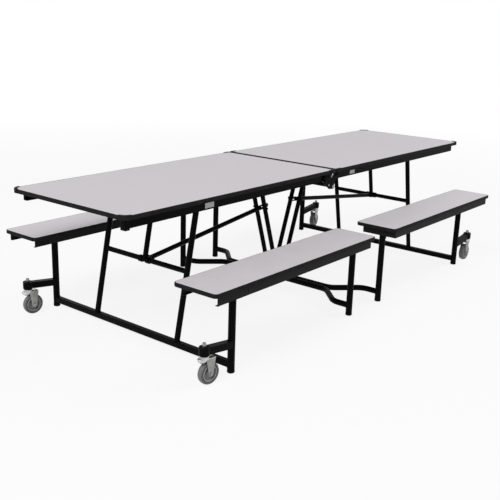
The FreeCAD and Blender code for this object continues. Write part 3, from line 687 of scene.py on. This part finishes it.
class Grower:
    # one geometry node tree with named inputs
    def __init__(self, name, inputs):
        self.tree = bpy.data.node_groups.new(name, "GeometryNodeTree")
        face = self.tree.interface
        face.new_socket(name="Geometry", in_out="INPUT", socket_type="NodeSocketGeometry")
        face.new_socket(name="Geometry", in_out="OUTPUT", socket_type="NodeSocketGeometry")
        for label, kind in inputs.items():
            face.new_socket(name=label, in_out="INPUT", socket_type="NodeSocket" + kind)
        self.source = self.tree.nodes.new("NodeGroupInput")

    def take(self, label):
        return self.source.outputs[label]

    def node(self, kind, settings=None, sockets=None, output=0):
        made = self.tree.nodes.new(kind)
        for name, value in (settings or {}).items():
            setattr(made, name, value)
        for name, value in (sockets or {}).items():
            if isinstance(value, list):    # several links into one socket
                for one in value:
                    self.tree.links.new(one, made.inputs[name])
            elif hasattr(value, "is_output"):
                self.tree.links.new(value, made.inputs[name])
            else:
                made.inputs[name].default_value = value
        return made.outputs[output]

    def times(self, label, share):
        return self.node("ShaderNodeMath", {"operation": "MULTIPLY"}, {0: self.take(label), 1: share})

    def raised(self, stamp, height):
        lift = self.node("ShaderNodeCombineXYZ", None, {"Z": height})
        return self.node("GeometryNodeTransform", None, {"Geometry": stamp, "Translation": lift})

    def onAimedPoints(self, stamp):
        # sets the stamp on each point, its Z along the direction kept there as "aim"
        aim = self.node("GeometryNodeInputNamedAttribute", {"data_type": "FLOAT_VECTOR"}, {"Name": "aim"})
        turn = self.node("FunctionNodeAlignEulerToVector", {"axis": "Z"}, {"Vector": aim})
        return self.node("GeometryNodeInstanceOnPoints", None,
                         {"Points": self.take("Geometry"), "Instance": stamp, "Rotation": turn})

    def finish(self, instances):
        real = self.node("GeometryNodeRealizeInstances", None, {"Geometry": instances})
        done = self.node("GeometryNodeSetMaterial", None,
                         {"Geometry": real, "Material": self.take("Material")})
        end = self.tree.nodes.new("NodeGroupOutput")
        self.tree.links.new(done, end.inputs["Geometry"])
        return self.tree


boltShape = {"washerHeight": 0.22, "endRadius": 0.86, "endHeight": 0.16, "endTip": 0.002}


def boltTree():
    # washer, hexagon and domed end on each point; the shape's first three are shares of the bolt's own sizes
    b = boltShape
    g = Grower("boltsOnPoints",
               {"Radius": "Float", "Height": "Float", "Washer": "Float", "Material": "Material"})
    hexagon = g.node("GeometryNodeMeshCylinder", None,
                     {"Vertices": 6, "Radius": g.take("Radius"), "Depth": g.take("Height")})
    washer = g.node("GeometryNodeMeshCylinder", None,
                    {"Vertices": 20, "Radius": g.take("Washer"),
                     "Depth": g.times("Height", b["washerHeight"])})
    end = g.node("GeometryNodeMeshCone", None,
                 {"Vertices": 12, "Radius Top": b["endTip"],
                  "Radius Bottom": g.times("Radius", b["endRadius"]),
                  "Depth": g.times("Height", b["endHeight"])})
    parts = [g.raised(hexagon, g.times("Height", 0.5)), washer, g.raised(end, g.take("Height"))]
    stamp = g.node("GeometryNodeJoinGeometry", None, {"Geometry": parts})
    return g.finish(g.onAimedPoints(stamp))


def domedTree():
    # low domed head on each point
    g = Grower("domedHeads", {"Radius": "Float", "Height": "Float", "Material": "Material"})
    ball = g.node("GeometryNodeMeshUVSphere", None, {"Segments": 12, "Rings": 6, "Radius": g.take("Radius")})
    flat = g.node("ShaderNodeMath", {"operation": "DIVIDE"}, {0: g.take("Height"), 1: g.take("Radius")})
    scale = g.node("ShaderNodeCombineXYZ", None, {"X": 1.0, "Y": 1.0, "Z": flat})
    stamp = g.node("GeometryNodeTransform", None, {"Geometry": ball, "Scale": scale})
    return g.finish(g.onAimedPoints(stamp))


beadShape = {"smallest": 0.82, "largest": 1.12, "squash": (1.0, 1.0, 0.8)}


def weldTree():
    # overlapping beads along each seam, sizes varied a little
    b = beadShape
    g = Grower("weldBeads", {"Bead": "Float", "Pitch": "Float", "Seed": "Int", "Material": "Material"})
    curve = g.node("GeometryNodeMeshToCurve", None, {"Mesh": g.take("Geometry")})
    spaced = g.node("GeometryNodeResampleCurve", {"mode": "LENGTH"},
                    {"Curve": curve, "Length": g.take("Pitch")})
    tangent = g.node("GeometryNodeInputTangent")
    turn = g.node("FunctionNodeAlignEulerToVector", {"axis": "Z"}, {"Vector": tangent})
    size = g.node("FunctionNodeRandomValue", {"data_type": "FLOAT"},
                  {2: b["smallest"], 3: b["largest"], "Seed": g.take("Seed")}, 1)
    bead = g.node("GeometryNodeMeshUVSphere", None, {"Segments": 7, "Rings": 4, "Radius": g.take("Bead")})
    bead = g.node("GeometryNodeTransform", None, {"Geometry": bead, "Scale": b["squash"]})
    placed = g.node("GeometryNodeInstanceOnPoints", None,
                    {"Points": spaced, "Instance": bead, "Rotation": turn, "Scale": size})
    return g.finish(placed)


boltsOnPoints, domedHeads, weldBeads = boltTree(), domedTree(), weldTree()


def grow(name, tree, carrier, values, body):
    # runs the tree on the carrier mesh and keeps the result as a plain piece
    holder = bpy.data.objects.new(name + "Carrier", carrier)
    bpy.context.scene.collection.objects.link(holder)
    modifier = holder.modifiers.new("layout", "NODES")
    modifier.node_group = tree
    for item in tree.interface.items_tree:
        if item.in_out == "INPUT" and item.name in values:
            modifier[item.identifier] = values[item.name]
    holder.update_tag()
    grown = holder.evaluated_get(bpy.context.evaluated_depsgraph_get())
    mesh = bpy.data.meshes.new_from_object(grown)
    mesh.name = name
    holder.modifiers.remove(modifier)
    bpy.data.objects.remove(holder)
    addPiece(name, mesh, None, body)


def growHeads(name, tree, spots, values, body):
    # spots: a (place, direction) pair for each head
    carrier = bpy.data.meshes.new(name)
    carrier.from_pydata([place for place, aim in spots], [], [])
    attribute = carrier.attributes.new("aim", "FLOAT_VECTOR", "POINT")
    for value, (place, aim) in zip(attribute.data, spots):
        value.vector = aim
    grow(name, tree, carrier, values, body)


def growWelds(name, loops, values, body):
    # loops: one closed chain of points for each seam
    verts, edges = [], []
    for loop in loops:
        start = len(verts)
        verts += loop
        edges += [(start + i, start + (i + 1) % len(loop)) for i in range(len(loop))]
    carrier = bpy.data.meshes.new(name)
    carrier.from_pydata(verts, edges, [])
    grow(name, weldBeads, carrier, values, body)


def sideView(jointName):
    # (x, z) of a joint of the left half, x counted outwards
    place = joints[jointName]["pos_m"]
    return abs(place[0]), place[2]


def bothFaces(x, z, y):
    # a spot on the near face and one on the far face, both looking outwards
    return [((x, sign * y, z), (0.0, sign, 0.0)) for sign in (-1.0, 1.0)]


blackBolt = {"Radius": 0.0068, "Height": 0.0045, "Washer": 0.0085, "Material": blackFoot}
brightBolt = {"Radius": 0.0044, "Height": 0.0036, "Washer": 0.0060, "Material": plainSteel}
# places are (x, z), face is the distance from the middle plane
hingeBolts = {"leftHingeBolts": {"places": ((-0.074, 0.702), (-0.050, 0.702), (-0.074, 0.683)),
                                 "face": 0.3665, "head": blackBolt, "rides": "left_top", "slot": "frame"},
              "leftBrightBolts": {"places": ((-0.0215, 0.699), (-0.043, 0.654)), "face": 0.3665,
                                  "head": brightBolt, "rides": "left_top", "slot": "bright_steel"},
              "rightHingeBolts": {"places": ((0.034, 0.703), (0.050, 0.703)), "face": 0.361,
                                  "head": blackBolt, "rides": "right_top", "slot": "frame"}}
pinNuts = {"LinkPinNuts": {"place": sideView("left_link_fold"), "face": 0.0173, "rides": "_end_frame",
                           "size": {"Radius": 0.0082, "Height": 0.0055, "Washer": 0.0100}},
           "VeeBoltNuts": {"place": (0.1653, 0.487), "face": 0.0442, "rides": "_centre_frame",
                           "size": {"Radius": 0.0062, "Height": 0.0050, "Washer": 0.0080}},
           "HangerNuts": {"place": sideView("left_centre_fold"), "face": 0.0502, "rides": "_top",
                          "size": {"Radius": 0.0095, "Height": 0.0060, "Washer": 0.0115}}}


def makeHingeBolts():
    for name, bolt in hingeBolts.items():
        spots = [spot for x, z in bolt["places"] for spot in bothFaces(x, z, bolt["face"])]
        growHeads(name, boltsOnPoints, spots, bolt["head"], bolt["rides"])


def makePinNuts():
    for side, sideSign in halves:
        for kind, nut in pinNuts.items():
            x, z = nut["place"]
            growHeads(side + kind, boltsOnPoints, bothFaces(sideSign * x, z, nut["face"]),
                      dict(nut["size"], Material=blackFoot), side + nut["rides"])


rivetSize = {"place": sideView("left_near_bench_fold"), "faces": (0.500, 0.703),
             "head": {"Radius": 0.0092, "Height": 0.0022, "Material": railCoat}}


def makeRivets():
    # one head on each side of a bench, at its pivot
    x, z = rivetSize["place"]
    inner, outer = rivetSize["faces"]
    for side, sideSign in halves:
        for row, rowSign in rows:
            spots = [((sideSign * x, rowSign * outer, z), (0.0, rowSign, 0.0)),
                     ((sideSign * x, rowSign * inner, z), (0.0, -rowSign, 0.0))]
            growHeads(side + row.capitalize() + "BenchRivets", domedHeads, spots, rivetSize["head"],
                      side + "_" + row + "_bench")


screwRows = {"top": {"start": 0.060, "end": 1.430, "count": 8, "sides": (-0.344, 0.344), "height": 0.7155},
             "seat": {"start": 0.175, "end": 1.290, "count": 6, "sides": (0.513, 0.690), "height": 0.424}}
screwHead = {"Radius": 0.0050, "Height": 0.0024, "Material": zincPlate}


def screwSpots(row, signX, signY):
    # two rows of screws that look down
    step = (row["end"] - row["start"]) / (row["count"] - 1)
    return [((signX * (row["start"] + step * i), signY * y, row["height"]), (0.0, 0.0, -1.0))
            for i in range(row["count"]) for y in row["sides"]]


def makeScrews():
    # heads under the rail flanges that hold the tops and seats
    for side, sideSign in halves:
        growHeads(side + "TopScrews", domedHeads, screwSpots(screwRows["top"], sideSign, 1), screwHead,
                  side + "_top")
        for row, rowSign in rows:
            growHeads(side + row.capitalize() + "SeatScrews", domedHeads,
                      screwSpots(screwRows["seat"], sideSign, rowSign), screwHead,
                      side + "_" + row + "_bench")


tubes = {"benchLeg": {"x": 1.125, "y": 0.612, "radius": 0.017},
         "tableLeg": {"foot": (1.125, 0.054), "head": sideView("left_fold"), "y": 0.280, "radius": 0.014},
         "floorBar": {"z": 0.039, "half": 0.015},
         "brace": {"z": 0.378, "radius": 0.0127},
         "arm": {"start": (1.125, 0.136), "end": (1.303, 0.160), "seamHalfWidth": 0.015, "halfHeight": 0.017},
         "centreLeg": {"x": 0.152, "radius": 0.017},
         "centreBar": {"x": 0.019, "z": 0.054, "radius": 0.016},
         "veeLeg": {"y": 0.0305, "radius": 0.0127, "top": (0.190, 0.560)}}
weldLook = {"Bead": 0.0021, "Pitch": 0.0026, "Seed": 11, "Material": blackCoat}


def tubeSeam(centre, branch, radius, trunk, trunkRadius, steps=26):
    # where a branch tube leaves the surface of a trunk tube
    branchAxis, trunkAxis = Vector(branch).normalized(), Vector(trunk).normalized()
    first = (trunkAxis - branchAxis * trunkAxis.dot(branchAxis)).normalized()
    second = branchAxis.cross(first)
    away = branchAxis - trunkAxis * branchAxis.dot(trunkAxis)    # the branch less its part along the trunk
    loop = []
    for step in range(steps):
        angle = 2 * math.pi * step / steps
        spoke = first * radius * math.cos(angle) + second * radius * math.sin(angle)
        flat = spoke - trunkAxis * spoke.dot(trunkAxis)
        half = away.dot(flat)
        inside = half * half - away.dot(away) * (flat.dot(flat) - trunkRadius ** 2)
        reach = (math.sqrt(max(inside, 0.0)) - half) / away.dot(away)
        loop.append(Vector(centre) + branchAxis * reach + spoke)
    return loop


def boxSeam(centre, along, halfWidth, halfHeight, trunkRadius, steps=5):
    # where a level bar of square section, going off along the given direction, leaves an upright tube
    axis = Vector(along).normalized()
    side = Vector((0.0, 0.0, 1.0)).cross(axis)
    corners = [(-halfWidth, -halfHeight), (halfWidth, -halfHeight),
               (halfWidth, halfHeight), (-halfWidth, halfHeight)]
    spots = []
    for (u1, v1), (u2, v2) in zip(corners, corners[1:] + corners[:1]):
        for step in range(steps):
            u, v = u1 + (u2 - u1) * step / steps, v1 + (v2 - v1) * step / steps
            reach = math.sqrt(max(trunkRadius ** 2 - u * u, 0.0))
            spots.append(Vector(centre) + axis * reach + side * u + Vector((0.0, 0.0, v)))
    return spots


def footSeam(place, lean, radius):
    # where a leaning tube stands on the flat of the floor bar
    slope = Vector(lean).normalized()
    ring = arc(radius / slope.z, radius, 0, 360, steps=24)[:-1]
    return [Vector(place) + Vector((x, y, 0.0)) for x, y in ring]


def endFrameSeams(signX):
    leg, bench, bar = tubes["tableLeg"], tubes["benchLeg"], tubes["floorBar"]
    brace, arm = tubes["brace"], tubes["arm"]
    footX, footZ = leg["foot"]
    leanX, leanZ = leg["head"][0] - footX, leg["head"][1] - footZ
    braceX = footX + leanX * (brace["z"] - footZ) / leanZ
    armRise = (arm["end"][1] - arm["start"][1]) / (arm["end"][0] - arm["start"][0])
    armZ = arm["start"][1] + armRise * bench["radius"]
    lean = (signX * leanX, 0.0, leanZ)
    loops = []
    for signY in (-1, 1):
        inwards = (0, -signY, 0)
        loops.append(footSeam((signX * footX, signY * leg["y"], footZ), lean, leg["radius"]))
        loops.append(tubeSeam((signX * braceX, signY * leg["y"], brace["z"]), inwards, brace["radius"],
                              lean, leg["radius"]))
        loops.append(boxSeam((signX * bench["x"], signY * bench["y"], bar["z"]), inwards,
                             bar["half"], bar["half"], bench["radius"]))
        loops.append(boxSeam((signX * arm["start"][0], signY * bench["y"], armZ), (signX, 0, 0),
                             arm["seamHalfWidth"], arm["halfHeight"], bench["radius"]))
    return loops


def centreFrameSeams(signX):
    bar, vee = tubes["centreBar"], tubes["veeLeg"]
    leg, bench = tubes["centreLeg"], tubes["benchLeg"]
    slope = (signX * (vee["top"][0] - bar["x"]), 0.0, vee["top"][1] - bar["z"])
    loops = []
    for signY in (-1, 1):
        loops.append(tubeSeam((signX * bar["x"], signY * vee["y"], bar["z"]), slope, vee["radius"],
                              (0, 1, 0), bar["radius"]))
        loops.append(tubeSeam((signX * leg["x"], signY * bench["y"], bar["z"]), (0, -signY, 0), bar["radius"],
                              (0, 0, 1), leg["radius"]))
    return loops


def makeWelds():
    for side, sideSign in halves:
        growWelds(side + "EndWelds", endFrameSeams(sideSign), weldLook, side + "_end_frame")
        growWelds(side + "CentreWelds", centreFrameSeams(sideSign), weldLook, side + "_centre_frame")


plateSize = {"thickness": 0.0006, "corner": 0.0025, "cornerSteps": 5, "face": 0.356, "softness": 0.00015,
             "left": {"place": (-0.997, 0.6965), "half": (0.0300, 0.0125)},
             "right": {"place": (0.207, 0.6955), "half": (0.0250, 0.0100)}}


def makePlates():
    # blank plates on the near rails
    p = plateSize
    for side in ("left", "right"):
        x, z = p[side]["place"]
        halfX, halfZ = p[side]["half"]
        corners = (p["corner"],) * 4
        spots = roundedOutline(x - halfX, z - halfZ, x + halfX, z + halfZ, corners, p["cornerSteps"])
        form = bmesh.new()
        prism(form, [place for place, out in spots], -p["face"] - p["thickness"], -p["face"])
        mesh = softened(side + "BlankPlate", form, p["softness"], segments=1)
        addPiece(side + "BlankPlate", mesh, barePlate, side + "_top")


makeHingeBolts()
makePinNuts()
makeRivets()
makeScrews()
print("bolts, rivets and screws done")
makeWelds()
makePlates()
print("welds and plates done")


white = (1.0, 1.0, 1.0, 1.0)
floorSize = {"half": 60.0, "tones": (0.93, 0.96), "speckScale": 60.0, "shadow": 0.13, "fade": (3.5, 8.0)}


def makeFloor():
    # pale floor that shows white to the camera and keeps a soft shadow
    half = floorSize["half"]
    mesh = bpy.data.meshes.new("floor")
    corners = [(-half, -half, 0), (half, -half, 0), (half, half, 0), (-half, half, 0)]
    mesh.from_pydata(corners, [], [(0, 1, 2, 3)])
    floor = bpy.data.objects.new("floor", mesh)
    bpy.context.scene.collection.objects.link(floor)
    paint = Paint("paleFloor")
    speck = paint.noise(floorSize["speckScale"], detail=3.0, roughness=0.6)
    dark, light = floorSize["tones"]
    tone = paint.mixed(paint.between(speck, 0.3, 0.7), grey(dark), grey(light))
    diffuse = paint.node("ShaderNodeBsdfDiffuse", None, {"Color": tone})
    glow = paint.node("ShaderNodeEmission", None, {"Color": white, "Strength": 1.0})
    seen = paint.seenBy("Camera", "Glossy")
    reach = paint.node("ShaderNodeVectorMath", {"operation": "LENGTH"}, {0: paint.place}, "Value")
    near = 1.0 - paint.between(reach, *floorSize["fade"])
    share = seen * (1.0 - near * floorSize["shadow"])
    both = paint.node("ShaderNodeMixShader", None, {0: share, 1: diffuse, 2: glow})
    paint.node("ShaderNodeOutputMaterial", None, {"Surface": both})
    mesh.materials.append(paint.material)


lightOnTable = 0.28    # strength of the white surroundings, which show at 1


def makeWorld():
    world = bpy.data.worlds.new("studio")
    bpy.context.scene.world = world
    sky = ShaderTree(world)
    strength = lightOnTable + sky.seenBy("Camera", "Glossy", "Transmission") * (1.0 - lightOnTable)
    background = sky.node("ShaderNodeBackground", None, {"Color": white, "Strength": strength})
    sky.node("ShaderNodeOutputWorld", None, {"Surface": background})


lamps = {"keyLight": {"place": (-9.0, -2.0, 9.4), "target": (0.0, 0.0, 0.4), "size": 7.0, "power": 790.0},
         "fillLight": {"place": (7.0, -5.0, 9.0), "target": (0.2, 0.0, 0.4), "size": 6.0, "power": 380.0}}


def makeLamp(name, look):
    data = bpy.data.lights.new(name, "AREA")
    data.shape = "DISK"
    data.size = look["size"]
    data.energy = look["power"]
    lamp = bpy.data.objects.new(name, data)
    lamp.location = look["place"]
    lamp.rotation_euler = (Vector(look["target"]) - Vector(look["place"])).to_track_quat("-Z", "Y").to_euler()
    bpy.context.scene.collection.objects.link(lamp)


cameraView = {"place": (-3.5943, -2.6703, 1.5112), "azimuth": -51.403, "elevation": 16.363,
              "roll": 1.808, "lens": 56.93, "sensor": 36.0, "reach": 60.0}


def makeCamera():
    view = cameraView
    data = bpy.data.cameras.new("camera")
    data.sensor_width = view["sensor"]
    data.lens = view["lens"]
    data.clip_end = view["reach"]
    camera = bpy.data.objects.new("camera", data)
    turn = Matrix.Rotation(math.radians(view["azimuth"]), 4, "Z")
    tilt = Matrix.Rotation(math.radians(90.0 - view["elevation"]), 4, "X")
    roll = Matrix.Rotation(math.radians(view["roll"]), 4, "Z")
    camera.matrix_world = Matrix.Translation(view["place"]) @ turn @ tilt @ roll
    bpy.context.scene.collection.objects.link(camera)
    bpy.context.scene.camera = camera


makeFloor()
makeWorld()
for name, look in lamps.items():
    makeLamp(name, look)
makeCamera()
bpy.context.scene.view_settings.view_transform = "Standard"
print("stage done")
